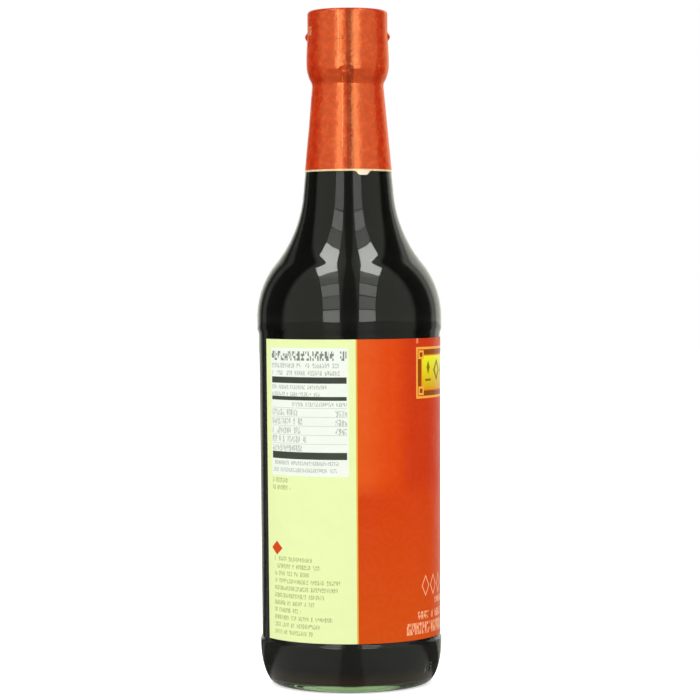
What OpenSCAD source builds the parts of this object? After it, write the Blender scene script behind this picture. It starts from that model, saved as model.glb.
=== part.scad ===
// Soy sauce bottle: a half-litre round glass bottle, full and sealed.
// Five pieces: the glass, the sauce in it, a screw cap, a shrink sleeve over the
// cap and neck, and a wrap-round paper label. Millimetres, +Z up, the origin at the
// centre of the standing ring, and the middle of the label's front faces -Y.

/* [Body] */
// Diameter of the upper contact ring, the widest place
body_d = 69; // [58:0.5:82]
// Diameter of the lower contact ring
foot_d = 68; // [56:0.5:80]
// Height at which the shoulder starts to curve in
body_h = 137; // [90:1:180]
// How far the heel curves in, from the lower ring to the flat of the base
heel_w = 6.2; // [4:0.2:10]
// Height of the heel's curve
heel_h = 16; // [10:0.5:20]
// Depth of the panel that protects the label
recess = 0.6; // [0.3:0.1:1.2]
// Height of the straight lower contact ring above the heel
foot_ring_h = 0.8; // [0.6:0.2:4]
// Height of the straight upper contact ring below the shoulder
top_ring_h = 3.6; // [1:0.2:8]
// Height of the moulded step below the panel
low_step_h = 1.4; // [0.8:0.2:3]
// Height of the moulded step above the panel
high_step_h = 2.8; // [1:0.2:5]

/* [Glass] */
// Thickness of the side wall
wall = 2.7; // [1.8:0.1:3.2]
// Thickness of the base
base_t = 3.25; // [2.5:0.25:7]
// Rise of the base's push-up at its centre
push_h = 3.5; // [1:0.25:6]
// Width of the flat ring that the bottle stands on
stand_w = 4; // [2:0.5:7]

/* [Shoulder and neck] */
// Radius of the shoulder's outward curve
shoulder_r = 32; // [24:1:44]
// Radius of the curve that runs into the neck
blend_r = 48; // [36:1:64]
// Diameter of the neck where its straight taper starts
neck_d = 33.8; // [28:0.2:41]
// Length of the tapered neck, up to the cap's lower edge
neck_h = 43.2; // [30:0.4:56]
// Wall of the glass inside the cap
finish_wall = 3.1; // [2.6:0.1:4]
// Height over which the bore narrows to that wall
throat_h = 6; // [3:0.5:10]
// Rounding of the rim's two edges
rim_round = 1; // [0.4:0.1:1.2]

/* [Cap] */
// Diameter of the cap's upper part
cap_d = 29.6; // [24:0.1:36]
// Height of the cap
cap_h = 25; // [20:0.5:32]
// Wall of the cap's upper part
cap_wall = 1.6; // [1:0.05:1.8]
// Thickness of the cap's top
cap_top_t = 1.8; // [1:0.1:3]
// Radial clearance between the cap's skirt and the glass
thread_gap = 0.3; // [0.1:0.05:0.6]
// How far the lower band stands out from the upper part
band_out = 0.45; // [0:0.05:1]
// How far the band tucks in again at the cap's lower edge
band_tuck = 0.9; // [0:0.05:1.3]
// Height of that tuck
tuck_h = 3.6; // [2:0.2:6]
// Height of the band's upper end, above the cap's lower edge
band_h = 8; // [6.5:0.5:10]
// Height over which the band runs out into the upper part
band_run = 9; // [4:0.5:9.5]
// Rounding of the cap's top edge
cap_round = 1.2; // [0.4:0.1:2]

/* [Sleeve] */
// Thickness of the shrink film
film_t = 0.15; // [0.1:0.05:0.3]
// Length of neck that the film covers below the cap
sleeve_drop = 35; // [10:1:40]
// Where the film leaves the neck to reach the cap, below the cap's lower edge
film_lift = 2; // [1:0.5:5]
// Width of the film folded over the cap's top
fold_w = 4; // [2:0.5:8]

/* [Label] */
// Thickness of the label
label_t = 0.15; // [0.1:0.05:0.25]
// Bare glass between the label and the lower end of the panel
label_low = 0.4; // [0.2:0.1:5]
// Bare glass between the label and the upper end of the panel
label_high = 1.2; // [0.2:0.1:5]
// Angle left bare at the back, between the label's two ends
label_gap = 54; // [4:2:180]

/* [Fill] */
// Depth of the sauce's surface below the rim
head_space = 54; // [30:1:70]

/* [Hidden] */
$fn = 96;
arc_steps = 18;
step_steps = 6;

body_r = body_d / 2;
foot_r = foot_d / 2;
heel_r = foot_r - heel_w;
stand_r = heel_r - stand_w;
foot_ring_z = heel_h + foot_ring_h;
panel_z0 = foot_ring_z + low_step_h;
top_ring_z = body_h - top_ring_h;
panel_z1 = top_ring_z - high_step_h;
panel_r0 = foot_r - recess;
panel_r1 = body_r - recess;

cap_r = cap_d / 2;
cap_bore_r = cap_r - cap_wall;
band_r = cap_r + band_out;
lip_r = band_r - band_tuck;
finish_r = cap_bore_r - thread_gap;
mouth_r = finish_r - finish_wall;

// The neck leans from its own radius to the finish inside the cap, and the two
// curves of the shoulder meet on the line between their centres.
neck_r = neck_d / 2;
lean = atan((neck_r - finish_r) / neck_h);
shoulder_x = body_r - shoulder_r;
blend_x = neck_r + blend_r * cos(lean);
turn = acos((blend_x - shoulder_x) / (shoulder_r + blend_r));
blend_z = body_h + (shoulder_r + blend_r) * sin(turn);
neck_z0 = blend_z - blend_r * sin(lean);
neck_z1 = neck_z0 + neck_h;
rim_z = neck_z1 + cap_h - cap_top_t;
cap_top_z = neck_z1 + cap_h;
sauce_z = rim_z - head_space;

sleeve_z0 = neck_z1 - sleeve_drop;
lift_z = neck_z1 - film_lift;
fold_r = cap_r - fold_w;
label_z0 = panel_z0 + label_low;
label_z1 = panel_z1 - label_high;

// Points [radius, height] along part of an ellipse, from angle a0 to angle a1
function arc(cx, cz, rx, rz, a0, a1, first = 0) =
    [for (i = [first:arc_steps]) let (a = a0 + (a1 - a0) * i / arc_steps)
        [cx + rx * cos(a), cz + rz * sin(a)]];

// A moulded step: the radius eases from one value to the other as the height rises
function step(r0, z0, r1, z1) =
    [for (i = [0:step_steps]) let (t = i / step_steps)
        [r0 + (r1 - r0) * (1 - cos(180 * t)) / 2, z0 + (z1 - z0) * t]];

// A shallow dome of the push-up's shape, from its edge at height z to the axis
dome_r = (stand_r * stand_r + push_h * push_h) / (2 * push_h);
dome_steps = 10;
function dome(z) =
    [for (i = [0:dome_steps]) let (r = stand_r * (1 - i / dome_steps))
        [r, z + sqrt(dome_r * dome_r - r * r) - dome_r + push_h]];

function reversed(list) = [for (i = [len(list) - 1:-1:0]) list[i]];

// Radius of the glass on the tapered neck and on the label panel
function neck_at(z) = neck_r - (z - neck_z0) * tan(lean);
function panel_at(z) = panel_r0 + (panel_r1 - panel_r0) * (z - panel_z0) / (panel_z1 - panel_z0);

// Outside of the glass, from the middle of the base up to the rim
outside = concat(
    reversed(dome(0)),
    arc(heel_r, heel_h, heel_w, heel_h, -90, 0),
    step(foot_r, foot_ring_z, panel_r0, panel_z0),
    step(panel_r1, panel_z1, body_r, top_ring_z),
    arc(shoulder_x, body_h, shoulder_r, shoulder_r, 0, turn),
    arc(blend_x, blend_z, blend_r, blend_r, 180 + turn, 180 + lean, 1),
    [[finish_r, neck_z1]],
    arc(finish_r - rim_round, rim_z - rim_round, rim_round, rim_round, 0, 90));

// Inside of the glass, from the rim down to the middle of the base
inside = concat(
    arc(mouth_r + rim_round, rim_z - rim_round, rim_round, rim_round, 90, 180),
    [[mouth_r, neck_z1 + throat_h]],
    [[finish_r - wall / cos(lean), neck_z1]],
    arc(blend_x, blend_z, blend_r + wall, blend_r + wall, 180 + lean, 180 + turn),
    arc(shoulder_x, body_h, shoulder_r - wall, shoulder_r - wall, turn, 0, 1),
    arc(heel_r, heel_h, heel_w - wall, heel_h - base_t, 0, -90),
    dome(base_t));

// Outside of the cap from its lower edge to its top, grown by g for the film
function cap_side(g) = concat(
    [[lip_r + g, neck_z1],
     [band_r + g, neck_z1 + tuck_h],
     [band_r + g, neck_z1 + band_h],
     [cap_r + g, neck_z1 + band_h + band_run]],
    arc(cap_r - cap_round, cap_top_z - cap_round, cap_round + g, cap_round + g, 0, 90));

// The film, up the neck, over the cap and in across its top
function film_side(g) = concat(
    [[neck_at(sleeve_z0) + g, sleeve_z0],
     [neck_at(lift_z) + g, lift_z]],
    cap_side(g),
    [[fold_r, cap_top_z + g]]);

module bottle() {
    color([0.62, 0.72, 0.58, 0.45])
        rotate_extrude()
            polygon(concat(outside, inside));
}

module sauce() {
    color([0.09, 0.05, 0.03])
        intersection() {
            rotate_extrude()
                polygon(concat(inside, [[0, rim_z]]));
            cylinder(r = body_r, h = sauce_z);
        }
}

module cap() {
    color([0.72, 0.12, 0.06])
        difference() {
            rotate_extrude()
                polygon(concat([[0, neck_z1]], cap_side(0), [[0, cap_top_z]]));
            translate([0, 0, neck_z1 - 1])
                cylinder(r = cap_bore_r, h = cap_h - cap_top_t + 1);
        }
}

module sleeve() {
    color([0.84, 0.35, 0.18])
        rotate_extrude()
            polygon(concat(film_side(film_t), reversed(film_side(0))));
}

module label() {
    color([0.95, 0.96, 0.72])
        rotate([0, 0, 90 + label_gap / 2])
            rotate_extrude(angle = 360 - label_gap)
                polygon([
                    [panel_at(label_z0), label_z0],
                    [panel_at(label_z0) + label_t, label_z0],
                    [panel_at(label_z1) + label_t, label_z1],
                    [panel_at(label_z1), label_z1]]);
}

bottle();
sauce();
cap();
sleeve();
label();
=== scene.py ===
# %% [markdown]
# # A bottle of soy sauce, made to be looked at
#
# The engineering model is already packed: a glass bottle, the sauce in it, a screw cap, a
# shrink sleeve over cap and neck, and a label wrapped round the body. It is loaded here as a
# fixed frame. Each piece is then made again with finer shape and a real finish, in metres,
# in the same place.

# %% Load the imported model
import math
import random

import bmesh
import bpy
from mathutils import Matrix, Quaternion, Vector


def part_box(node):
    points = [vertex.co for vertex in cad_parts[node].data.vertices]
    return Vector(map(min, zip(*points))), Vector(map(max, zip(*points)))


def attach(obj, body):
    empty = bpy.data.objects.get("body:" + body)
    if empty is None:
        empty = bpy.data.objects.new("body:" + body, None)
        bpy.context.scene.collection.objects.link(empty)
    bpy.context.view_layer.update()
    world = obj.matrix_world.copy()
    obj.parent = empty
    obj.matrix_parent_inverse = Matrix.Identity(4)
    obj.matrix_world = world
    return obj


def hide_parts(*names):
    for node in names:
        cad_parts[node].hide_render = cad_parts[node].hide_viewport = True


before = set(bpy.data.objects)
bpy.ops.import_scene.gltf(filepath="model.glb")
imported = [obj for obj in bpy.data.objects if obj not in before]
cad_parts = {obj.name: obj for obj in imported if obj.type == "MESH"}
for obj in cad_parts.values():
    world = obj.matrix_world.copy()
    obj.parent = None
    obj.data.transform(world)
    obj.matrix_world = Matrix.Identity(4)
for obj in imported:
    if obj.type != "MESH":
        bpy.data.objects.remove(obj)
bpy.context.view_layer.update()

# %% [markdown]
# ## Sizes
#
# The overall sizes are read from the model's own boxes, so the looks follow the part when it
# is repacked. The curves in between repeat the sizes the part was drawn with.

# %% Sizes read from the model, and the curves between them
MM = 0.001

body_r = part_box("bottle")[1].x
rim_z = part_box("bottle")[1].z
neck_z1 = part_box("cap")[0].z
cap_top_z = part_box("cap")[1].z
sauce_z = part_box("sauce")[1].z
sleeve_z0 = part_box("sleeve")[0].z
label_z0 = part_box("label")[0].z
label_z1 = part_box("label")[1].z

foot_r = 34 * MM
body_h = 137 * MM
heel_w = 6.2 * MM
heel_h = 16 * MM
recess = 0.6 * MM
foot_ring_h = 0.8 * MM
low_step_h = 1.4 * MM
high_step_h = 2.8 * MM
top_ring_h = 3.6 * MM
foot_ring_z = heel_h + foot_ring_h
panel_z0 = foot_ring_z + low_step_h
top_ring_z = body_h - top_ring_h
panel_z1 = top_ring_z - high_step_h
panel_r0 = foot_r - recess
panel_r1 = body_r - recess

wall = 2.7 * MM
base_t = 3.25 * MM
push_h = 3.5 * MM
stand_w = 4 * MM
heel_r = foot_r - heel_w
stand_r = heel_r - stand_w

cap_r = 14.8 * MM
cap_wall = 1.6 * MM
cap_top_t = 1.8 * MM
cap_round = 1.2 * MM
band_out = 0.45 * MM
band_tuck = 0.9 * MM
cap_bore_r = cap_r - cap_wall
band_r = cap_r + band_out
lip_r = band_r - band_tuck

thread_gap = 0.3 * MM
finish_wall = 3.1 * MM
rim_round = 1 * MM
throat_h = 6 * MM
finish_r = cap_bore_r - thread_gap
mouth_r = finish_r - finish_wall

film_t = 0.15 * MM
film_lift = 2 * MM
fold_w = 4 * MM
label_t = 0.15 * MM

shoulder_r = 32 * MM
blend_r = 48 * MM
neck_r = 16.9 * MM
neck_h = 43.2 * MM
lean = math.atan((neck_r - finish_r) / neck_h)
shoulder_x = body_r - shoulder_r
blend_x = neck_r + blend_r * math.cos(lean)
turn = math.acos((blend_x - shoulder_x) / (shoulder_r + blend_r))
blend_z = body_h + (shoulder_r + blend_r) * math.sin(turn)
neck_z0 = blend_z - blend_r * math.sin(lean)
print("taper starts at", round(neck_z0 / MM, 2), "mm and the cap at", round(neck_z1 / MM, 2), "mm")

# %% [markdown]
# ## Helpers for round pieces
#
# A glass bottle is blown in a turned mould, so its whole shape is one outline swung round one
# axis. By hand this is a line of points, extruded one after another, and one Spin. A cylinder
# cut into rings would need each ring scaled by eye. The outline is a list of radius and height.


# %% Outlines, and the spin that turns one into a piece
def curve(middle_r, middle_z, across, up, start, end, steps=18):
    """Points along part of an ellipse, from one angle to the other, in radians."""
    turns = [start + (end - start) * i / steps for i in range(steps + 1)]
    return [(middle_r + across * math.cos(a), middle_z + up * math.sin(a)) for a in turns]


def eased(r0, z0, r1, z1, steps=8):
    """A moulded step whose radius eases from one value to the other."""
    shares = [i / steps for i in range(steps + 1)]
    return [(r0 + (r1 - r0) * (1 - math.cos(math.pi * t)) / 2, z0 + (z1 - z0) * t) for t in shares]


def dome(edge_z, steps=12):
    """The push-up under the base, from its edge to the axis."""
    ball = (stand_r ** 2 + push_h ** 2) / (2 * push_h)
    radii = [stand_r * (1 - i / steps) for i in range(steps + 1)]
    return [(r, edge_z + math.sqrt(ball ** 2 - r ** 2) - ball + push_h) for r in radii]


def fine(outline, step):
    """The same outline with no stretch longer than the step."""
    points = [outline[0]]
    for (r0, z0), (r1, z1) in zip(outline, outline[1:]):
        count = max(1, round(math.hypot(r1 - r0, z1 - z0) / step))
        points += [(r0 + (r1 - r0) * i / count, z0 + (z1 - z0) * i / count) for i in range(1, count + 1)]
    return points


def edit(piece):
    """Makes the piece the only one selected, and opens it for editing."""
    bpy.ops.object.select_all(action="DESELECT")
    piece.select_set(True)
    bpy.context.view_layer.objects.active = piece
    bpy.ops.object.mode_set(mode="EDIT")


def pick(piece, wanted, kind="FACE"):
    """In edit mode, selects the faces or corners whose middle passes the test."""
    bpy.ops.mesh.select_mode(type=kind)
    bpy.ops.mesh.select_all(action="DESELECT")
    mesh = bmesh.from_edit_mesh(piece.data)
    for part in mesh.faces if kind == "FACE" else mesh.verts:
        middle = part.calc_center_median() if kind == "FACE" else part.co
        if wanted(middle):
            part.select_set(True)
    mesh.select_flush(True)
    bmesh.update_edit_mesh(piece.data)


def turned(name, outline, segments, start=0.0, sweep=2 * math.pi):
    """Extrudes one corner along the outline, then spins the line about the upright axis."""
    across = Vector((math.cos(start), math.sin(start), 0))
    places = [across * r + Vector((0, 0, z)) for r, z in outline]
    bpy.ops.object.select_all(action="DESELECT")
    bpy.ops.mesh.primitive_plane_add(size=0.001, location=(0, 0, 0))
    piece = bpy.context.object
    piece.name = name
    bpy.ops.object.mode_set(mode="EDIT")
    bpy.ops.mesh.select_mode(type="VERT")
    bpy.ops.mesh.select_all(action="SELECT")
    bpy.ops.mesh.merge(type="CENTER")
    bpy.ops.transform.translate(value=places[0])
    for here, there in zip(places, places[1:]):
        bpy.ops.mesh.extrude_vertices_move(TRANSFORM_OT_translate={"value": there - here})
    bpy.ops.mesh.select_all(action="SELECT")
    bpy.ops.mesh.spin(steps=segments, angle=sweep, center=(0, 0, 0), axis=(0, 0, 1))
    bpy.ops.mesh.select_all(action="SELECT")
    bpy.ops.mesh.remove_doubles(threshold=0.000002)
    bpy.ops.mesh.normals_make_consistent(inside=False)
    bpy.ops.object.mode_set(mode="OBJECT")
    piece.data.name = name
    print(name, "has", len(piece.data.polygons), "faces")
    return piece


def apply_modifier(piece, kind, **settings):
    """Adds one modifier, sets it and applies it."""
    bpy.ops.object.select_all(action="DESELECT")
    piece.select_set(True)
    bpy.context.view_layer.objects.active = piece
    made = piece.modifiers.new(kind.title(), kind)
    for key, value in settings.items():
        setattr(made, key, value)
    bpy.ops.object.modifier_apply(modifier=made.name)


def smooth(piece, degrees=35):
    """Shades the piece smooth, except where two faces meet at a sharper angle."""
    bpy.ops.object.mode_set(mode="OBJECT")
    bpy.ops.object.select_all(action="DESELECT")
    piece.select_set(True)
    bpy.context.view_layer.objects.active = piece
    bpy.ops.object.shade_smooth_by_angle(angle=math.radians(degrees))


def keep(piece, finish, node):
    """Gives a finished piece its material and its body, and hides the model's piece it stands for."""
    piece.data.materials.clear()
    piece.data.materials.append(finish)
    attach(piece, "root")
    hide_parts(node)


def around(place):
    """Angle round the bottle in degrees: 0 at the label's front, -90 at the -X side."""
    return math.degrees(math.atan2(place.x, -place.y))


# %% [markdown]
# ## Helpers for finishes
#
# A finish is a tree of nodes. Colours are given as a designer reads them off a chart, from 0
# to 255, and turned into the plain light values that the renderer counts in.


# %% Nodes, colours and groups
def light(value):
    """One channel of a chart colour as linear light."""
    share = value / 255
    return share / 12.92 if share <= 0.04045 else ((share + 0.055) / 1.055) ** 2.4


def chart(red, green, blue):
    """A chart colour as the renderer's own red, green, blue and alpha."""
    return (light(red), light(green), light(blue), 1.0)


def put(tree, kind, values=None, **settings):
    """Adds one node. Values are numbers, colours, or the outputs that feed a socket."""
    made = tree.nodes.new(kind)
    for key, value in settings.items():
        setattr(made, key, value)
    for key, value in (values or {}).items():
        if isinstance(value, bpy.types.NodeSocket):
            tree.links.new(value, made.inputs[key])
        else:
            made.inputs[key].default_value = value
    return made


def sums(tree, operation, *values):
    """One Math node, and the number it gives."""
    return put(tree, "ShaderNodeMath", dict(enumerate(values)), operation=operation).outputs[0]


def blend(tree, share, below, above, how="MIX"):
    """Lays one colour over another where the share is 1."""
    values = {0: share, 6: below, 7: above}
    return put(tree, "ShaderNodeMix", values, data_type="RGBA", blend_type=how).outputs[2]


def lay(tree, mask, strength, under, ink):
    """Prints an ink over a colour where the mask is on, at a strength from 0 to 1."""
    return blend(tree, sums(tree, "MULTIPLY", mask, strength), under, ink)


def noise(tree, where, scale, detail, wanted=0):
    """A soft cloud of values from 0 to 1, or of colours where the output wanted is "Color"."""
    values = {"Vector": where, "Scale": scale, "Detail": detail}
    return put(tree, "ShaderNodeTexNoise", values).outputs[wanted]


def relief(tree, shader, level, strength, distance):
    """Makes the surface look raised where the level is high, to a distance in metres."""
    values = {"Strength": strength, "Distance": distance, "Height": level}
    tree.links.new(put(tree, "ShaderNodeBump", values).outputs[0], shader.inputs["Normal"])


def spread(tree, value, low, high, to_low=0.0, to_high=1.0):
    """Stretches a value from one range to another, and holds it there."""
    values = {0: value, 1: low, 2: high, 3: to_low, 4: to_high}
    return put(tree, "ShaderNodeMapRange", values).outputs[0]


def new_group(name, inputs, outputs):
    """An empty node group with named sockets, and its input and output nodes."""
    tree = bpy.data.node_groups.new(name, "ShaderNodeTree")
    for socket, kind in inputs.items():
        tree.interface.new_socket(socket, in_out="INPUT", socket_type="NodeSocket" + kind)
    for socket, kind in outputs.items():
        tree.interface.new_socket(socket, in_out="OUTPUT", socket_type="NodeSocket" + kind)
    return tree, tree.nodes.new("NodeGroupInput").outputs, tree.nodes.new("NodeGroupOutput").inputs


def put_group(tree, group, values):
    """Places a node group in a tree and feeds its inputs."""
    made = tree.nodes.new("ShaderNodeGroup")
    made.node_tree = group
    for key, value in values.items():
        if isinstance(value, bpy.types.NodeSocket):
            tree.links.new(value, made.inputs[key])
        else:
            made.inputs[key].default_value = value
    return made.outputs


def new_finish(name):
    """A material with one Principled shader, and the place on the piece in metres."""
    finish = bpy.data.materials.new(name)
    finish.use_nodes = True
    tree = finish.node_tree
    shader = tree.nodes["Principled BSDF"]
    place = tree.nodes.new("ShaderNodeTexCoord").outputs["Object"]
    return finish, tree, shader, place


# %% [markdown]
# ## Shared effects
#
# Paper and film are both printed flat and then wrapped, so their print is laid out in
# millimetres round the bottle and up it. One group finds that position. Two more draw a
# solid block and a lozenge, and another draws rows of marks that stand for small print: the
# marks are scattered by chance inside each letter's cell, so they never form a letter.


# %% Group: where a point lies on something wrapped round the bottle
wrap_group, given, result = new_group(
    "Wrap position", {"Place": "Vector", "Radius": "Float"}, {"Arc": "Float", "Height": "Float"})
xyz = put(wrap_group, "ShaderNodeSeparateXYZ", {0: given["Place"]}).outputs
toward_front = sums(wrap_group, "MULTIPLY", xyz["Y"], -1.0)
bearing = sums(wrap_group, "ARCTAN2", xyz["X"], toward_front)
wrap_group.links.new(sums(wrap_group, "MULTIPLY", bearing, given["Radius"]), result["Arc"])
wrap_group.links.new(sums(wrap_group, "MULTIPLY", xyz["Z"], 1000.0), result["Height"])

# %% Group: a solid block, for print and for painted light
block_group, given, result = new_group(
    "Printed block",
    {name: "Float" for name in ("Arc", "Height", "Left", "Right", "Bottom", "Top")},
    {"Mask": "Float"})


def inside_span(tree, value, low, high):
    """1 between two limits and 0 outside them."""
    above = sums(tree, "GREATER_THAN", value, low)
    return sums(tree, "MULTIPLY", above, sums(tree, "LESS_THAN", value, high))


across = inside_span(block_group, given["Arc"], given["Left"], given["Right"])
upright = inside_span(block_group, given["Height"], given["Bottom"], given["Top"])
block_group.links.new(sums(block_group, "MULTIPLY", across, upright), result["Mask"])

# %% Group: a lozenge, filled or drawn as a line
lozenge_group, given, result = new_group(
    "Printed lozenge",
    {name: "Float" for name in ("Arc", "Height", "Middle", "Level", "Half width", "Half height", "Hollow")},
    {"Mask": "Float"})
aside = sums(lozenge_group, "ABSOLUTE", sums(lozenge_group, "SUBTRACT", given["Arc"], given["Middle"]))
upward = sums(lozenge_group, "ABSOLUTE", sums(lozenge_group, "SUBTRACT", given["Height"], given["Level"]))
aside = sums(lozenge_group, "DIVIDE", aside, given["Half width"])
upward = sums(lozenge_group, "DIVIDE", upward, given["Half height"])
edge = sums(lozenge_group, "ADD", aside, upward)
lozenge_group.links.new(inside_span(lozenge_group, edge, given["Hollow"], 1.0), result["Mask"])

# %% Group: rows of marks that stand for small print
row_inputs = ("Arc", "Height", "Left", "Right", "Top", "Rows", "Pitch", "Size", "Letter", "Ragged", "Seed")
rows_group, given, result = new_group(
    "Printed rows", {name: "Float" for name in row_inputs}, {"Mask": "Float"})


def chance(tree, *values):
    """A fixed number from 0 to 1 that differs from one cell to the next."""
    cell = put(tree, "ShaderNodeCombineXYZ", dict(enumerate(values))).outputs[0]
    return put(tree, "ShaderNodeTexWhiteNoise", {"Vector": cell}, noise_dimensions="3D").outputs["Value"]


down = sums(rows_group, "SUBTRACT", given["Top"], given["Height"])
row_share = sums(rows_group, "DIVIDE", down, given["Pitch"])
row = sums(rows_group, "FLOOR", row_share)
in_rows = sums(rows_group, "MULTIPLY",
               sums(rows_group, "GREATER_THAN", down, 0.0),
               sums(rows_group, "LESS_THAN", row_share, given["Rows"]))
in_row = sums(rows_group, "DIVIDE",
              sums(rows_group, "SUBTRACT", down, sums(rows_group, "MULTIPLY", row, given["Pitch"])),
              given["Size"])
in_letter_height = sums(rows_group, "LESS_THAN", in_row, 1.0)
along = sums(rows_group, "SUBTRACT", given["Arc"], given["Left"])
row_width = sums(rows_group, "SUBTRACT", given["Right"], given["Left"])
cut_short = sums(rows_group, "MULTIPLY", given["Ragged"], chance(rows_group, row, given["Seed"], 3.0))
row_end = sums(rows_group, "MULTIPLY", row_width, sums(rows_group, "SUBTRACT", 1.0, cut_short))
in_length = inside_span(rows_group, along, 0.0, row_end)
letter_share = sums(rows_group, "DIVIDE", along, given["Letter"])
letter = sums(rows_group, "FLOOR", letter_share)
in_word = sums(rows_group, "GREATER_THAN", chance(rows_group, letter, row, given["Seed"]), 0.14)
in_letter = sums(rows_group, "MULTIPLY", sums(rows_group, "FRACT", letter_share), 4.0)
stroke_x = sums(rows_group, "FLOOR", in_letter)
stroke_y = sums(rows_group, "FLOOR", sums(rows_group, "MULTIPLY", in_row, 4.0))
stroke_row = sums(rows_group, "ADD", sums(rows_group, "MULTIPLY", row, 7.0), stroke_y)
stroke_column = sums(rows_group, "ADD", sums(rows_group, "MULTIPLY", letter, 5.0), stroke_x)
stroke_seed = sums(rows_group, "ADD", given["Seed"], 0.5)
stroke_chance = chance(rows_group, stroke_column, stroke_row, stroke_seed)
in_stroke = sums(rows_group, "GREATER_THAN", stroke_chance, 0.34)
in_stroke = sums(rows_group, "MULTIPLY", in_stroke, sums(rows_group, "LESS_THAN", in_letter, 3.2))
mask = in_rows
for part in (in_letter_height, in_length, in_word, in_stroke):
    mask = sums(rows_group, "MULTIPLY", mask, part)
rows_group.links.new(mask, result["Mask"])
print("effects:", [g.name for g in bpy.data.node_groups])

# %% [markdown]
# ## The glass
#
# The bottle is blown glass, 2.7 mm thick at the side and more in the base, with a recessed
# panel for the label between two contact rings. Inside and outside are one closed outline, so
# the spin gives the wall its true thickness and light bends through it as through real glass.


# %% The outline of the glass, outside and inside
half_turn = math.pi
quarter_turn = math.pi / 2
shoulder_steps = 24
rim_steps = 6
outside = (
    dome(0)[::-1]
    + curve(heel_r, heel_h, heel_w, heel_h, -quarter_turn, 0)
    + eased(foot_r, foot_ring_z, panel_r0, panel_z0)
    + eased(panel_r1, panel_z1, body_r, top_ring_z)
    + curve(shoulder_x, body_h, shoulder_r, shoulder_r, 0, turn, shoulder_steps)
    + curve(blend_x, blend_z, blend_r, blend_r, half_turn + turn, half_turn + lean, shoulder_steps)[1:]
    + fine([(neck_r, neck_z0), (finish_r, neck_z1)], 6 * MM)[1:]
    + curve(finish_r - rim_round, rim_z - rim_round, rim_round, rim_round, 0, quarter_turn, rim_steps)
)
inside = (
    curve(mouth_r + rim_round, rim_z - rim_round, rim_round, rim_round, quarter_turn, half_turn, rim_steps)
    + [(mouth_r, neck_z1 + throat_h)]
    + [(finish_r - wall / math.cos(lean), neck_z1)]
    + curve(blend_x, blend_z, blend_r + wall, blend_r + wall, half_turn + lean, half_turn + turn,
            shoulder_steps)
    + curve(shoulder_x, body_h, shoulder_r - wall, shoulder_r - wall, turn, 0, shoulder_steps)[1:]
    + curve(heel_r, heel_h, heel_w - wall, heel_h - base_t, 0, -quarter_turn)
    + dome(base_t)[1:]
)
print("the outline has", len(outside) + len(inside), "points")

# %% Spin the glass
glass_segments = 192
glass_bottle = turned("glass_bottle", outside + inside, glass_segments)

# %% [markdown]
# A bottle stands on a ring that is knurled, so that hot glass doesn't check where it touches
# the belt, and it carries a few pips on the heel that tell which mould it came from. Both are
# faces of the spun shape, inset and moved: that keeps them the size of a real tool mark.


# %% Knurl the standing ring and raise the mould pips
def segment_of(place):
    """Which of the spin's segments a point lies in."""
    return int((math.degrees(math.atan2(place.y, place.x)) % 360) * glass_segments / 360)


def on_standing_ring(place):
    reach = math.hypot(place.x, place.y)
    return place.z < 0.1 * MM and stand_r < reach < heel_r and segment_of(place) % 2 == 0


pip_low, pip_high = 6.2 * MM, 8.8 * MM
pip_start, pip_end = -37, -26


def at_mould_pip(place):
    reach = math.hypot(place.x, place.y)
    in_row = pip_low < place.z < pip_high and reach > heel_r
    return in_row and pip_start < around(place) < pip_end and segment_of(place) % 3 == 0


edit(glass_bottle)
pick(glass_bottle, on_standing_ring)
print("knurls:", sum(f.select for f in bmesh.from_edit_mesh(glass_bottle.data).faces))
bpy.ops.mesh.inset(thickness=0.18 * MM, use_individual=True)
bpy.ops.transform.translate(value=(0, 0, 0.25 * MM))
pick(glass_bottle, at_mould_pip)
print("pips:", sum(f.select for f in bmesh.from_edit_mesh(glass_bottle.data).faces))
bpy.ops.mesh.inset(thickness=0.2 * MM, depth=0.3 * MM, use_individual=True)
smooth(glass_bottle, 40)

# %% [markdown]
# Glass is one shader that lets light through, and a faint green that only shows where the
# light travels far in it, as in the thick base. That green is absorption inside the solid,
# not a surface colour. The skin is never quite flat, so a slow ripple bends the reflections.

# %% Finish: bottle glass
glass_finish, tree, shader, place = new_finish("bottle_glass")
shader.inputs["Base Color"].default_value = (1, 1, 1, 1)
shader.inputs["Roughness"].default_value = 0.0
shader.inputs["IOR"].default_value = 1.52
shader.inputs["Transmission Weight"].default_value = 1.0
ripple = noise(tree, place, 42.0, 1.0)
relief(tree, shader, ripple, 0.25, 0.0004)
tint = put(tree, "ShaderNodeVolumeAbsorption", {"Color": (0.12, 0.4, 0.0, 1), "Density": 25.0})
tree.links.new(tint.outputs[0], tree.nodes["Material Output"].inputs["Volume"])
keep(glass_bottle, glass_finish, "bottle")

# %% [markdown]
# ## The sauce
#
# Soy sauce fills the bottle to the neck and is nearly black: only a thin layer of it, at the
# heel and at the surface, lets some brown through. Its skin reaches a little into the glass,
# because a gap would show as a layer of air. At the glass the surface climbs in a meniscus.

# %% The outline of the sauce, and its spin
into_wall = 0.15 * MM
below_throat = rim_steps + 2
sauce_in_glass = [(r + into_wall if r > mouth_r else r, z) for r, z in inside[below_throat:]]
sauce_wall = finish_r - wall / math.cos(lean) + (neck_z1 - sauce_z) * math.tan(lean) + into_wall
meniscus = [(0, 0), (-3.2, 0.02), (-1.6, 0.12), (-0.7, 0.4), (-0.25, 0.8), (0, 1.3)]
surface = [(0.0, sauce_z)] + [(sauce_wall + r * MM, sauce_z + z * MM) for r, z in meniscus[1:]]
below_surface = [(r, z - into_wall if r < heel_r else z) for r, z in sauce_in_glass if z < sauce_z]
sauce_segments = 160
soy_sauce = turned("soy_sauce", surface + below_surface, sauce_segments)
smooth(soy_sauce, 50)

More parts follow.
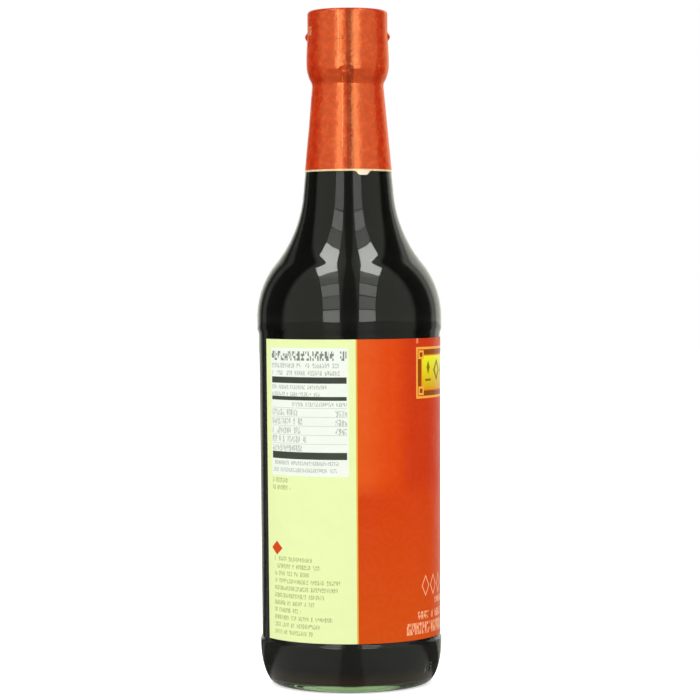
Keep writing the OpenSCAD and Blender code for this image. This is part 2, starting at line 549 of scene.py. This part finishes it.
# %% [markdown]
# Seen through the thick glass of the base, the sauce isn't black: light that meets it at a low
# angle is thrown back whole, and the base looks pale. Two solids that reach into each other
# can't do this by themselves, so near the base the sauce turns into a mirror at such angles.

# %% Finish: soy sauce
sauce_finish, tree, shader, place = new_finish("soy_sauce")
height = put(tree, "ShaderNodeSeparateXYZ", {0: place}).outputs["Z"]
thin_at_heel = spread(tree, height, 8.0 * MM, 4.2 * MM, 0.0, 0.7)
thin_at_top = spread(tree, height, sauce_z - 1 * MM, sauce_z + 1.2 * MM)
thin = sums(tree, "MAXIMUM", thin_at_heel, thin_at_top)
cloud = noise(tree, place, 60.0, 3.0)
thin = sums(tree, "MULTIPLY", thin, spread(tree, cloud, 0.3, 0.7, 0.6, 1.0))
brown = blend(tree, thin, (0.0035, 0.0028, 0.0018, 1), (0.055, 0.026, 0.010, 1))
facing = put(tree, "ShaderNodeLayerWeight", {"Blend": 0.5}).outputs["Facing"]
at_base = spread(tree, height, 14 * MM, 9 * MM)
mirror = sums(tree, "MULTIPLY", spread(tree, facing, 0.55, 0.68), at_base)
pale = (0.92, 0.92, 0.88, 1)
tree.links.new(blend(tree, mirror, brown, pale), shader.inputs["Base Color"])
tree.links.new(mirror, shader.inputs["Metallic"])
tree.links.new(spread(tree, mirror, 0.0, 1.0, 0.15, 0.03), shader.inputs["Roughness"])
shader.inputs["Specular IOR Level"].default_value = 0.08
keep(soy_sauce, sauce_finish, "sauce")

# %% [markdown]
# ## The screw cap
#
# The cap is hidden under the film except for the middle of its top. It is a moulded shell
# with a skirt, a wider band at the bottom, grip ribs, a shallow panel in the top and the small
# nub where the plastic was fed in. It is spun, and the ribs are every third face set back.

# %% The outline of the cap, and its spin
cap_segments = 144
panel_depth = 0.45 * MM
band_z = [neck_z1 + 3.6 * MM, neck_z1 + 8 * MM, neck_z1 + 17 * MM]
cap_outline = (
    [(0, cap_top_z + 0.1 * MM), (0.9 * MM, cap_top_z + 0.05 * MM), (1.2 * MM, cap_top_z - panel_depth)]
    + [(9.2 * MM, cap_top_z - panel_depth), (9.8 * MM, cap_top_z)]
    + curve(cap_r - cap_round, cap_top_z - cap_round, cap_round, cap_round, quarter_turn, 0, 8)
    + [(cap_r, cap_top_z - 2.2 * MM), (cap_r, band_z[2] + 0.5 * MM), (cap_r, band_z[2])]
    + [(band_r, band_z[1]), (band_r, band_z[0]), (lip_r, neck_z1)]
    + [(cap_bore_r, neck_z1), (cap_bore_r, cap_top_z - cap_top_t - 0.8 * MM)]
    + [(cap_bore_r - 0.8 * MM, cap_top_z - cap_top_t), (0, cap_top_z - cap_top_t)]
)
screw_cap = turned("screw_cap", cap_outline, cap_segments)


# %% Set the grip ribs back
def between_ribs(place):
    on_side = math.hypot(place.x, place.y) > cap_r - 0.2 * MM
    on_grip = band_z[2] < place.z < cap_top_z - 2 * MM
    return on_side and on_grip and round(around(place) * cap_segments / 360) % 3 == 0


edit(screw_cap)
pick(screw_cap, between_ribs)
print("ribs:", sum(f.select for f in bmesh.from_edit_mesh(screw_cap.data).faces))
bpy.ops.mesh.inset(thickness=0.12 * MM, depth=-0.3 * MM, use_individual=True)
smooth(screw_cap, 30)

# %% [markdown]
# The cap's plastic is dyed through, so its red hardly varies: the flow of the melt clouds it a
# little, and a fine grain from the mould takes the edge off its gloss.

# %% Finish: moulded cap plastic
cap_finish, tree, shader, place = new_finish("cap_plastic")
grain = noise(tree, place, 900.0, 4.0)
flow = noise(tree, place, 120.0, 2.0)
red = blend(tree, spread(tree, flow, 0.3, 0.7), chart(176, 34, 14), chart(192, 44, 20))
tree.links.new(red, shader.inputs["Base Color"])
tree.links.new(spread(tree, grain, 0.2, 0.8, 0.34, 0.46), shader.inputs["Roughness"])
relief(tree, shader, grain, 0.3, 0.00005)
keep(screw_cap, cap_finish, "cap")

# %% [markdown]
# ## The shrink sleeve
#
# The film is a printed tube that was dropped over cap and neck and shrunk with hot air. It
# follows every step, bridges the one under the cap's band, folds in over the top and keeps
# small dents. It is spun as a bare skin, pressed with proportional editing, and given its
# thickness at the end, so that both sides of the film follow every press.

# %% Spin the skin of the film
sleeve_r0 = neck_r - (sleeve_z0 - neck_z0) * math.tan(lean)
lift_z = neck_z1 - film_lift
lift_r = neck_r - (lift_z - neck_z0) * math.tan(lean)
fold_r = cap_r - fold_w
film_outline = (
    fine([(sleeve_r0, sleeve_z0), (lift_r, lift_z), (lip_r, neck_z1)], 0.7 * MM)
    + fine([(lip_r, neck_z1), (band_r, band_z[0]), (band_r, band_z[1])], 0.6 * MM)[1:]
    + fine([(band_r, band_z[1]), (cap_r, band_z[2]), (cap_r, cap_top_z - cap_round)], 0.6 * MM)[1:]
    + curve(cap_r - cap_round, cap_top_z - cap_round, cap_round, cap_round, 0, quarter_turn, 8)[1:]
    + fine([(cap_r - cap_round, cap_top_z), (fold_r, cap_top_z)], 0.7 * MM)[1:]
)
off_the_cap = 0.02 * MM
film_outline = [(r + off_the_cap, z) for r, z in film_outline]
film_segments = 240
shrink_sleeve = turned("shrink_sleeve", film_outline, film_segments)

# %% [markdown]
# The tear strip ends in a pinch on each side of the cap, the film folds where it is drawn in
# under the band, its edge is drawn down in one place, and nowhere is it perfectly round. Each
# press takes a few corners, scales them about the axis and lets the neighbours follow. Folds
# on the cap are pressed outwards, because a dent would go through the film into the cap.


# %% Pinch, fold and dent the film
def press(piece, bearing, level, half_arc, half_height, scale, reach):
    """Scales a patch of the film in or out about the axis, with its surroundings following."""
    def wanted(place):
        off = (around(place) - bearing + 180) % 360 - 180
        return abs(off) <= half_arc and abs(place.z - level * MM) <= half_height * MM
    pick(piece, wanted, "VERT")
    bpy.ops.transform.resize(value=(scale, scale, 1), center_override=(0, 0, 0),
                             use_proportional_edit=True, proportional_edit_falloff="SMOOTH",
                             proportional_size=reach * MM, use_proportional_connected=True)


tear_z = 241.6
edit(shrink_sleeve)
pick(shrink_sleeve, lambda place: neck_z1 - 4 * MM < place.z < cap_top_z - 3 * MM, "VERT")
bpy.ops.mesh.vertices_smooth(factor=0.5, repeat=6)
for bearing in (0, 180):
    press(shrink_sleeve, bearing, tear_z, 0.8, 0.35, 1.055, 1.5)
folds = ((-109, 228.6, 7, 1.020), (-75, 228.6, 7, 1.020), (-94, 227.0, 6, 1.016), (-30, 229.6, 9, 1.012),
         (20, 230.8, 12, 1.012), (75, 229.0, 9, 1.014), (128, 230.6, 12, 1.012), (165, 228.6, 9, 1.014),
         (-150, 229.4, 8, 1.010))
for bearing, level, half_arc, scale in folds:
    press(shrink_sleeve, bearing, level, half_arc, 0.3, scale, 1.1)
press(shrink_sleeve, -69.1, sleeve_z0 / MM + 0.3, 5, 0.4, 1.014, 0.9)
bpy.ops.transform.translate(value=(0, 0, -1.5 * MM), use_proportional_edit=True,
                            proportional_edit_falloff="SMOOTH", proportional_size=2 * MM,
                            use_proportional_connected=True)
dent_count = 16
chance_of_dents = random.Random(11)
for count in range(dent_count):
    press(shrink_sleeve, chance_of_dents.uniform(-180, 180), chance_of_dents.uniform(195, 222), 3,
          chance_of_dents.uniform(2, 5), chance_of_dents.choice([0.996, 1.003]), 5)
print("the film was pressed at", 2 + len(folds) + 1 + dent_count, "places")

# %% Give the film its thickness
bpy.ops.object.mode_set(mode="OBJECT")
apply_modifier(shrink_sleeve, "SOLIDIFY", thickness=film_t, offset=1.0, use_even_offset=True)
smooth(shrink_sleeve, 60)
print("the film's outside reaches", round(max(v.co.z for v in shrink_sleeve.data.vertices) / MM, 2), "mm")

# %% [markdown]
# The film is clear, and printed on its inside with a pearly red ink. The clear skin over the
# flakes in the ink gives strong, orange highlights, so the index of refraction is set high and
# the highlight is tinted. A scroll in a second red covers it, the overlap makes a dark seam
# with a row of cuts down it, and the lower edge is left bare. The seam is also painted darker,
# as painted shade for the dark gap between the two ladders of light that it mirrors. There is
# a painted highlight down two creases, a painted glint where the edge is drawn down, and
# painted shade along the top fold. From here on, arc and height are the place on the finish
# being made.

# %% Finish: printed shrink film, where things lie on it
film_finish, tree, shader, place = new_finish("shrink_film")
film_print_r = 15.0
wrap = put_group(tree, wrap_group, {"Place": place, "Radius": film_print_r})
arc, height = wrap["Arc"], wrap["Height"]
film_bottom = sleeve_z0 / MM
film_top = cap_top_z / MM


def block(tree, left, right, bottom, top):
    """A solid block between four limits in millimetres, for print and for painted light."""
    values = {"Arc": arc, "Height": height, "Left": left, "Right": right, "Bottom": bottom, "Top": top}
    return put_group(tree, block_group, values)["Mask"]


def together(tree, masks):
    """One mask that is on wherever any of them is."""
    whole = masks[0]
    for part in masks[1:]:
        whole = sums(tree, "MAXIMUM", whole, part)
    return whole


def scrolls(tree, flat, scale, drift_scale, drift_by, rings):
    """Rings round scattered points, drawn out of shape by a drift, from -1 to 1."""
    drift = noise(tree, flat, drift_scale, 1.0, "Color")
    moved = {0: drift, 1: (drift_by, drift_by, 0)}
    moved = put(tree, "ShaderNodeVectorMath", moved, operation="MULTIPLY").outputs[0]
    moved = put(tree, "ShaderNodeVectorMath", {0: flat, 1: moved}, operation="ADD").outputs[0]
    cells = put(tree, "ShaderNodeTexVoronoi", {"Vector": moved, "Scale": scale}).outputs["Distance"]
    return sums(tree, "SINE", sums(tree, "MULTIPLY", cells, rings))


# %% Finish: printed shrink film, its inks and its painted light
flat = put(tree, "ShaderNodeCombineXYZ", {0: arc, 1: height}).outputs[0]
scroll = spread(tree, scrolls(tree, flat, 0.3, 0.3, 5, 12.0), -0.3, 0.9)
film_red = blend(tree, scroll, chart(228, 48, 4), chart(236, 62, 10))
blotch = noise(tree, flat, 0.42, 4.0)
film_red = blend(tree, spread(tree, blotch, 0.6, 0.42, 0.0, 0.8), film_red, chart(206, 32, 2))
seam_middle = -22.3
# The seam band is darkened partly for the film's overlap and partly as painted shade, for the dark gap
# between the two ladders of light that it mirrors.
seam_and_dark_reflection = block(tree, seam_middle - 1.3, seam_middle + 1.3, 190, 252)
film_red = lay(tree, seam_and_dark_reflection, 0.8, film_red, chart(170, 18, 2))
uneven = noise(tree, flat, 0.9, 2.0)
dash_end = spread(tree, uneven, 0.35, 0.65, 0.2, 0.75)
dash = sums(tree, "LESS_THAN", sums(tree, "FRACT", sums(tree, "MULTIPLY", height, 0.55)), dash_end)
dash_line = block(tree, seam_middle - 0.36, seam_middle + 0.36, 192, 250)
perforation = sums(tree, "MULTIPLY", dash, dash_line)
film_red = lay(tree, perforation, 0.8, film_red, chart(120, 12, 2))
tear_dash = sums(tree, "LESS_THAN", sums(tree, "FRACT", sums(tree, "MULTIPLY", arc, 0.42)), 0.55)
tear_line = sums(tree, "MULTIPLY", tear_dash, block(tree, -60, 60, tear_z - 0.14, tear_z + 0.14))
film_red = lay(tree, tear_line, 0.15, film_red, chart(120, 28, 8))
nip = block(tree, -27.4, -24.5, tear_z - 2.0, tear_z - 1.6)
film_red = lay(tree, nip, 0.85, film_red, chart(110, 10, 2))
# A pale, flecked patch just above the tear line.
pale_patch = block(tree, -42.6, -39.8, 241.8, 245.0)
pale_patch = sums(tree, "MULTIPLY", pale_patch, spread(tree, uneven, 0.4, 0.5, 0.0, 0.7))
film_red = blend(tree, pale_patch, film_red, chart(240, 180, 130))
# A thin bright line down two creases of the film is a painted highlight.
crease_highlight = together(tree, [block(tree, -26.8, -26.45, 231, 252), block(tree, -25.5, -25.15, 200, 226)])
film_red = lay(tree, crease_highlight, spread(tree, uneven, 0.3, 0.7, 0.1, 0.7), film_red, chart(255, 170, 110))
# Where the edge is drawn down, a near-white patch is a painted glint on its bulge.
bead_glint = block(tree, -20, -16.2, film_bottom - 3, film_bottom + 0.3)
bare_edge = sums(tree, "LESS_THAN", height, film_bottom + 0.7)
bare = blend(tree, spread(tree, uneven, 0.35, 0.65), chart(240, 218, 150), chart(250, 246, 215))
film_colour = blend(tree, bare_edge, film_red, bare)
film_colour = blend(tree, bead_glint, film_colour, chart(255, 255, 240))
# Along the top fold the film is darkened as painted shade, and its gloss is turned down there.
top_fold_shade = spread(tree, height, film_top - 1.0, film_top - 0.3)
film_colour = lay(tree, top_fold_shade, 0.6, film_colour, chart(150, 24, 4))
tree.links.new(film_colour, shader.inputs["Base Color"])

# %% Finish: printed shrink film, its gloss and its relief
haze = noise(tree, place, 260.0, 3.0)
tree.links.new(spread(tree, haze, 0.3, 0.7, 0.17, 0.27), shader.inputs["Roughness"])
shader.inputs["IOR"].default_value = 2.4
tree.links.new(spread(tree, top_fold_shade, 0.0, 1.0, 0.9, 0.12), shader.inputs["Specular IOR Level"])
shader.inputs["Specular Tint"].default_value = (1.0, 0.42, 0.16, 1)
pull = noise(tree, place, 150.0, 2.0)
level = sums(tree, "SUBTRACT", pull, sums(tree, "MULTIPLY", perforation, 1.5))
level = sums(tree, "ADD", level, sums(tree, "MULTIPLY", blotch, 1.5))
relief(tree, shader, level, 0.3, 0.0003)
keep(shrink_sleeve, film_finish, "sleeve")

# %% [markdown]
# ## The label
#
# One sheet of varnished paper is wrapped round the panel and stops short of meeting itself at
# the back. It is a straight line spun through the label's own angle, with its inner side just
# in the glass, as glued paper is, and its outer side a paper's thickness proud.

# %% Spin the label and give it its thickness
label_gap = math.radians(54)


def panel_at(z):
    """Radius of the glass on the label panel."""
    return panel_r0 + (panel_r1 - panel_r0) * (z - panel_z0) / (panel_z1 - panel_z0)


glue = 0.03 * MM
label_line = [(panel_at(label_z0) - glue, label_z0), (panel_at(label_z1) - glue, label_z1)]
label_start = quarter_turn - label_gap / 2
label_sweep = 2 * math.pi - label_gap
label_segments = 264
wrap_label = turned("wrap_label", fine(label_line, 4 * MM), label_segments, label_start, label_sweep)
apply_modifier(wrap_label, "SOLIDIFY", thickness=label_t + glue, offset=1.0)
smooth(wrap_label, 40)
bearings = [around(v.co) for v in wrap_label.data.vertices]
print("the label runs from", round(min(bearings), 1), "to", round(max(bearings), 1), "degrees")
label_reach = max(math.hypot(v.co.x, v.co.y) for v in wrap_label.data.vertices)
print("its outside is", round(label_reach / MM, 2), "mm from the axis")

# %% [markdown]
# The print is laid out in millimetres from the middle of the front. The front is red, with a
# faint scroll in a second red. Light is painted on the red: in its upper part it is more orange
# towards its sides, as painted sheen from the panels, and deeper nearer the middle of the
# front, as a painted reflection of the tent's dark edge, and a step at about 75 mm is a painted
# reflection of the table's edge; below the step the red turns more orange towards the bottom.
# The two side panels are cream, and a fine gold line parts them from the red. All wording is
# left out: rows of chance marks, bars and lozenges hold its places.

# %% Finish: label paper, the grounds, with painted sheen and reflection on the red
label_finish, tree, shader, place = new_finish("label_paper")
label_print_r = 33.9
wrap = put_group(tree, wrap_group, {"Place": place, "Radius": label_print_r})
arc, height = wrap["Arc"], wrap["Height"]
arc_from_front = sums(tree, "ABSOLUTE", arc)
flat = put(tree, "ShaderNodeCombineXYZ", {0: arc, 1: height}).outputs[0]
curls = spread(tree, scrolls(tree, flat, 0.11, 0.06, 14, 26.0), 0.0, 0.6)
# Painted light: deeper red where the tent's dark edge is mirrored, more orange where the panels shine, and
# a step at about 75 mm where the table's edge is mirrored.
dark_reflection_share = spread(tree, arc_from_front, 36, 28)
orange = spread(tree, arc_from_front, 38, 50)
upper_red_painted_light = blend(tree, dark_reflection_share, blend(tree, orange, chart(227, 72, 2), chart(234, 90, 18)), chart(209, 54, 0))
lower_red = blend(tree, spread(tree, height, 70, 20), chart(216, 64, 0), chart(219, 80, 8))
red_with_painted_light = blend(tree, spread(tree, height, 71, 78), lower_red, upper_red_painted_light)
second_red = blend(tree, 0.03, red_with_painted_light, (1, 1, 1, 1))
colour = lay(tree, curls, 0.12, red_with_painted_light, second_red)
label_cream = chart(241, 252, 185)
boundary = 49.95
on_cream = sums(tree, "GREATER_THAN", arc_from_front, boundary)
colour = blend(tree, on_cream, colour, label_cream)
line_inner, line_outer = 0.2, 0.35
gold_line = inside_span(tree, arc_from_front, boundary - line_inner, boundary + line_outer)
colour = blend(tree, gold_line, colour, chart(232, 178, 70))
worn = block(tree, -25.4, -24.2, 127.6, 129.6)
colour = lay(tree, worn, 0.7, colour, chart(250, 150, 110))


# %% Finish: label paper, helpers that lay print on it
def rows(tree, left, right, top, count, pitch, size, letter, ragged, seed):
    """Rows of marks from the top down, each starting at the left."""
    values = {"Arc": arc, "Height": height, "Left": left, "Right": right, "Top": top, "Rows": count,
              "Pitch": pitch, "Size": size, "Letter": letter, "Ragged": ragged, "Seed": seed}
    return put_group(tree, rows_group, values)["Mask"]


def lozenge(tree, middle, level, half_width, half_height, hollow=-1.0):
    """A lozenge in millimetres, drawn as a line where hollow is near 1."""
    values = {"Arc": arc, "Height": height, "Middle": middle, "Level": level,
              "Half width": half_width, "Half height": half_height, "Hollow": hollow}
    return put_group(tree, lozenge_group, values)["Mask"]


# %% Finish: label paper, the table on the cream side
table_left, table_right = -86.3, -53.6
table_bottom, table_top = 79.5, 126.3
table_pitch = 3.27
field = block(tree, table_left - 0.6, table_right + 0.6, table_bottom, table_top)
colour = blend(tree, field, colour, chart(247, 252, 243))
bars = together(tree, [
    block(tree, table_left, table_right, 113.4, 115.7),
    block(tree, table_left, table_right, 107.2, 108.6),
    block(tree, table_left, table_right, 85.7, 88.3)])
heading = rows(tree, table_left, table_right, 125.1, 1, 4, 3.4, 1.9, 0.0, 5)
small_print = together(tree, [
    rows(tree, table_left, table_right - 1, 120.7, 2, 2.7, 1.7, 0.95, 0.12, 1),
    rows(tree, table_left, table_right - 6, 112.7, 2, 2.5, 1.5, 0.85, 0.5, 2),
    rows(tree, table_left + 11, table_right, 106.5, 1, 2.7, 1.5, 0.85, 0.0, 3),
    rows(tree, table_left, table_right - 14, 103.9, 5, table_pitch, 2.3, 1.05, 0.45, 4),
    rows(tree, table_right - 4.2, table_right, 103.6, 3, table_pitch, 2.3, 1.2, 0.0, 6),
    rows(tree, table_left + 0.6, table_right - 2, 85.0, 2, 2.6, 1.5, 0.8, 0.1, 7)])
ruled_part = block(tree, table_left, table_right, 91.2, 104.6)
below_top = sums(tree, "DIVIDE", sums(tree, "SUBTRACT", 104.5, height), table_pitch)
on_rule = sums(tree, "LESS_THAN", sums(tree, "FRACT", below_top), 0.07)
rules = sums(tree, "MULTIPLY", ruled_part, on_rule)
side_print = together(tree, [
    rows(tree, table_left, table_left + 10.5, 78.6, 2, 2.7, 1.7, 0.95, 0.3, 8),
    rows(tree, table_left + 0.5, -53.5, 49.6, 11, 2.7, 1.6, 0.9, 0.6, 9)])
colour = blend(tree, bars, colour, chart(70, 75, 65))
colour = lay(tree, heading, 0.8, colour, chart(80, 82, 72))
colour = lay(tree, small_print, 0.45, colour, chart(95, 98, 88))
colour = lay(tree, rules, 0.35, colour, chart(120, 124, 112))
colour = lay(tree, side_print, 0.5, colour, chart(110, 112, 62))
red_mark = lozenge(tree, -84.2, 52.6, 3.3, 2.6)
colour = blend(tree, red_mark, colour, chart(222, 74, 20))

# %% Finish: label paper, the other cream side
other_print = together(tree, [
    rows(tree, 54.5, 88.0, 124.5, 1, 4, 3.2, 1.8, 0.3, 11),
    rows(tree, 54.5, 88.0, 118.0, 9, 2.8, 1.6, 0.9, 0.25, 12),
    rows(tree, 54.5, 88.0, 88.0, 6, 2.8, 1.6, 0.9, 0.4, 13)])
colour = lay(tree, other_print, 0.55, colour, chart(95, 98, 60))
other_field = block(tree, 56.0, 86.0, 28.0, 52.0)
other_frame = block(tree, 55.6, 86.4, 27.6, 52.4)
colour = blend(tree, other_frame, colour, chart(150, 152, 110))
colour = blend(tree, other_field, colour, chart(247, 252, 243))

# %% Finish: label paper, the plaque and the print on the red front
plaque = {"half": 25.4, "bottom": 107.3, "top": 126.2, "line": 0.9, "band": 1.9}
frame_line = block(tree, -plaque["half"], plaque["half"], plaque["bottom"], plaque["top"])
inner = plaque["half"] - plaque["line"]
band_area = block(tree, -inner, inner, plaque["bottom"] + plaque["line"], plaque["top"] - plaque["line"])
inner = inner - plaque["band"]
field_bottom = plaque["bottom"] + plaque["line"] + plaque["band"]
field_top = plaque["top"] - plaque["line"] - plaque["band"]
gold_field = block(tree, -inner, inner, field_bottom, field_top)


def squares(tree, half):
    """A square at each corner of the plaque's field."""
    return together(tree, [
        block(tree, side * inner - half, side * inner + half, level - half, level + half)
        for side in (-1, 1) for level in (field_bottom, field_top)])


corners = squares(tree, 1.6)
gold_up = spread(tree, height, field_bottom, field_top)
gold = blend(tree, gold_up, chart(222, 160, 8), chart(240, 246, 34))
plaque_gold = chart(255, 172, 66)
plaque_brown = chart(150, 72, 4)
colour = blend(tree, frame_line, colour, plaque_gold)
colour = blend(tree, band_area, colour, plaque_brown)
colour = blend(tree, gold_field, colour, chart(236, 120, 20))
inner_field = block(tree, 0.5 - inner, inner - 0.5, field_bottom + 0.5, field_top - 0.5)
colour = blend(tree, inner_field, colour, gold)
colour = blend(tree, corners, colour, plaque_gold)
corner_dots = squares(tree, 0.8)
colour = blend(tree, corner_dots, colour, plaque_brown)
plaque_marks = together(tree, [
    lozenge(tree, 0, 117.5, 5.2, 5.0, 0.62), lozenge(tree, 0, 117.5, 1.8, 1.8),
    lozenge(tree, -10.5, 117.5, 3.4, 4.2, 0.55), lozenge(tree, 10.5, 117.5, 3.4, 4.2, 0.55),
    lozenge(tree, -18.0, 118.6, 1.2, 2.6), lozenge(tree, 18.0, 118.6, 1.2, 2.6),
    block(tree, -20.0, -16.0, 113.6, 114.4), block(tree, 16.0, 20.0, 113.6, 114.4)])
colour = lay(tree, plaque_marks, 0.85, colour, chart(120, 84, 4))
front_print = together(
    tree,
    [lozenge(tree, -20.0 + 5.7 * i, 38.2, 2.5, 4.0, 0.78) for i in range(8)]
    + [rows(tree, -12.6, 12.6, 33.4, 1, 3, 2.3, 1.5, 0.0, 21),
       rows(tree, -24.6, 24.6, 28.9, 1, 4, 2.9, 1.7, 0.0, 22),
       rows(tree, -32.0, 32.0, 24.9, 1, 5, 4.3, 1.6, 0.0, 23)])
colour = blend(tree, front_print, colour, chart(255, 180, 140))
tree.links.new(colour, shader.inputs["Base Color"])
shader.inputs["Specular IOR Level"].default_value = 0.1

# %% [markdown]
# The sheet is varnished all over, and a little glossier on the plaque's foil. The paper's
# fibre and the slow cockle of a sheet glued wet break up the light that it throws back.

# %% Finish: label paper, its varnish and its relief
fibre = noise(tree, flat, 3.0, 6.0)
cockle = noise(tree, flat, 0.09, 2.0)
varnish = spread(tree, fibre, 0.3, 0.7, 0.27, 0.35)
foil = sums(tree, "SUBTRACT", frame_line, plaque_marks)
varnish = sums(tree, "SUBTRACT", varnish, sums(tree, "MULTIPLY", foil, 0.05))
tree.links.new(varnish, shader.inputs["Roughness"])
level = sums(tree, "ADD", sums(tree, "MULTIPLY", fibre, 0.01), sums(tree, "MULTIPLY", cockle, 0.45))
level = sums(tree, "ADD", level, sums(tree, "MULTIPLY", together(tree, [frame_line, front_print]), 0.03))
relief(tree, shader, level, 1.0, 0.001)
keep(wrap_label, label_finish, "label")
print("the label's finish has", len(tree.nodes), "nodes")

# %% [markdown]
# ## The studio
#
# The bottle stands on a pale floor in front of white, inside a product tent. Two rows of soft
# panels run from the front up and overhead, one on each side of the lens, and glass shows them
# as two ladders of light. The camera comes first, because the tent is set out round it.

# %% Camera
target = Vector((0, -0.0002, 0.1246))
camera_distance = 0.975
camera_roll = -0.365
azimuth, elevation = math.radians(-88.75), math.radians(1.72)
back = Vector((math.sin(azimuth) * math.cos(elevation), -math.cos(azimuth) * math.cos(elevation),
               math.sin(elevation)))
bpy.ops.object.camera_add(location=target + back * camera_distance)
camera = bpy.context.object
camera.data.lens = 133.7
camera.data.sensor_width = 36
camera.rotation_mode = "QUATERNION"
roll = Quaternion((0, 0, 1), math.radians(camera_roll))
camera.rotation_quaternion = (-back).to_track_quat("-Z", "Y") @ roll
bpy.context.scene.camera = camera
forward = Vector((back.x, back.y, 0)).normalized()
aside = Vector((0, 0, 1)).cross(forward)

# %% [markdown]
# The tent is grey in front, dark at its two edges and white behind, and that draws the outline
# of the glass. It is the same all the way up, so one colour ramp round the bottle holds it, in
# degrees from the lens. It is a group, because the floor mirrors the walls that the world shows.


# %% Group: how bright the tent is in each direction round the bottle
tent_group, given, result = new_group("Tent brightness", {"Toward": "Vector"}, {"Color": "Color"})


def along_axis(axis):
    """How far the given direction points along an axis."""
    values = {0: given["Toward"], 1: axis}
    return put(tent_group, "ShaderNodeVectorMath", values, operation="DOT_PRODUCT").outputs["Value"]


toward_lens = along_axis(forward)
toward_side = along_axis(aside)
turned_by = sums(tent_group, "ARCTAN2", toward_side, toward_lens)
turned_by = spread(tent_group, turned_by, -math.pi, math.pi)
walls = put(tent_group, "ShaderNodeValToRGB", {0: turned_by})
one_side = ((9, 0.14), (11, 0.45), (34, 0.53), (86, 0.53), (94, 0.06), (121, 0.06), (127, 0.5), (130, 0.7),
            (134, 0.45), (137, 0.6), (141, 1.15), (180, 1.1))
other_side = ((9, 0.14), (11, 0.45), (34, 0.53), (86, 0.53), (94, 0.06), (125, 0.05), (129, 0.24),
              (135, 0.24), (140, 0.07), (145, 0.07), (149, 0.4), (153, 0.5), (158, 1.0), (180, 1.1))
stops = [(-angle, brightness) for angle, brightness in other_side[::-1]] + list(one_side)
ramp = walls.color_ramp
for angle, brightness in stops[1:-1]:
    ramp.elements.new((angle + 180) / 360)
for element, (angle, brightness) in zip(ramp.elements, stops):
    element.position = (angle + 180) / 360
    element.color = (brightness * 0.97, brightness, brightness * 0.88, 1)
tent_group.links.new(walls.outputs[0], result["Color"])

# %% [markdown]
# The floor is white to the lens and through the glass. To reflected rays it glows with the
# tent's walls, a painted reflection like that of a glossy table, and it throws less light up at
# the bottle than a white one.

# %% Floor
bpy.ops.object.select_all(action="DESELECT")
bpy.ops.mesh.primitive_plane_add(size=8, location=(0, 0, -0.2 * MM))
floor = bpy.context.object
floor.name = "studio_floor"
floor_finish, tree, shader, place = new_finish("studio_floor")
path = put(tree, "ShaderNodeLightPath").outputs
lit = sums(tree, "MAXIMUM", path["Is Camera Ray"], path["Is Transmission Ray"])
tent = put_group(tree, tent_group, {"Toward": place})["Color"]
# The tent's walls are painted on the floor as a glow that only reflected rays see: a painted reflection.
painted_reflection_strength = (0.7, 0.7, 0.7, 1)
painted_wall_reflection = blend(tree, 1.0, tent, painted_reflection_strength, "MULTIPLY")
shade = blend(tree, path["Is Glossy Ray"], (0.42, 0.45, 0.4, 1), (0, 0, 0, 1))
tree.links.new(blend(tree, lit, shade, (0.95, 0.95, 0.95, 1)), shader.inputs["Base Color"])
painted_reflection_glow = blend(tree, path["Is Glossy Ray"], (0, 0, 0, 1), painted_wall_reflection)
tree.links.new(blend(tree, lit, painted_reflection_glow, (0.5, 0.5, 0.5, 1)), shader.inputs["Emission Color"])
shader.inputs["Emission Strength"].default_value = 1.0
shader.inputs["Roughness"].default_value = 1.0
shader.inputs["Specular IOR Level"].default_value = 0.0
floor.data.materials.append(floor_finish)

# %% [markdown]
# Each panel is an area light on an arch, given by its lowest and highest angle and its
# brightness. The top ones are the strongest, for the highlight on the shoulder.

# %% The two ladders of panels
arch_r = 1.5
panel_share = 0.42
arch_centre = Vector((0, 0, 0.16))
panels = ((-3, 9.5, 2.7), (11, 28.5, 1.3), (29.5, 47, 2.0), (47.6, 64.6, 1.0), (65, 82, 8.0))
for side in (-1, 1):
    for low, high, brightness in panels:
        tilt = math.radians((low + high) / 2)
        out = forward * math.cos(tilt) + Vector((0, 0, math.sin(tilt)))
        width, length = panel_share * arch_r, arch_r * math.radians(high - low)
        middle = arch_centre + out * arch_r + aside * side * panel_share * arch_r
        bpy.ops.object.light_add(type="AREA", location=middle)
        panel = bpy.context.object
        panel.name = "panel"
        panel.data.shape = "RECTANGLE"
        panel.data.size, panel.data.size_y = width, length
        panel.data.energy = brightness * math.pi * width * length
        panel.rotation_mode = "QUATERNION"
        panel.rotation_quaternion = (-out).to_track_quat("-Z", "Y")
        panel.data.color = (0.97, 1.0, 0.94)
        panel.visible_camera = False
        panel.visible_diffuse = False

# %% The tent's walls
world = bpy.data.worlds.new("studio")
bpy.context.scene.world = world
world.use_nodes = True
tree = world.node_tree
direction = put(tree, "ShaderNodeTexCoord").outputs["Generated"]
tent = put_group(tree, tent_group, {"Toward": direction})["Color"]
path = put(tree, "ShaderNodeLightPath").outputs
soft = blend(tree, path["Is Diffuse Ray"], tent, (1.42, 1.42, 1.42, 1))
seen = blend(tree, path["Is Camera Ray"], soft, (1.0, 1.0, 1.0, 1))
tree.links.new(seen, tree.nodes["Background"].inputs["Color"])
bpy.context.scene.view_settings.view_transform = "Standard"
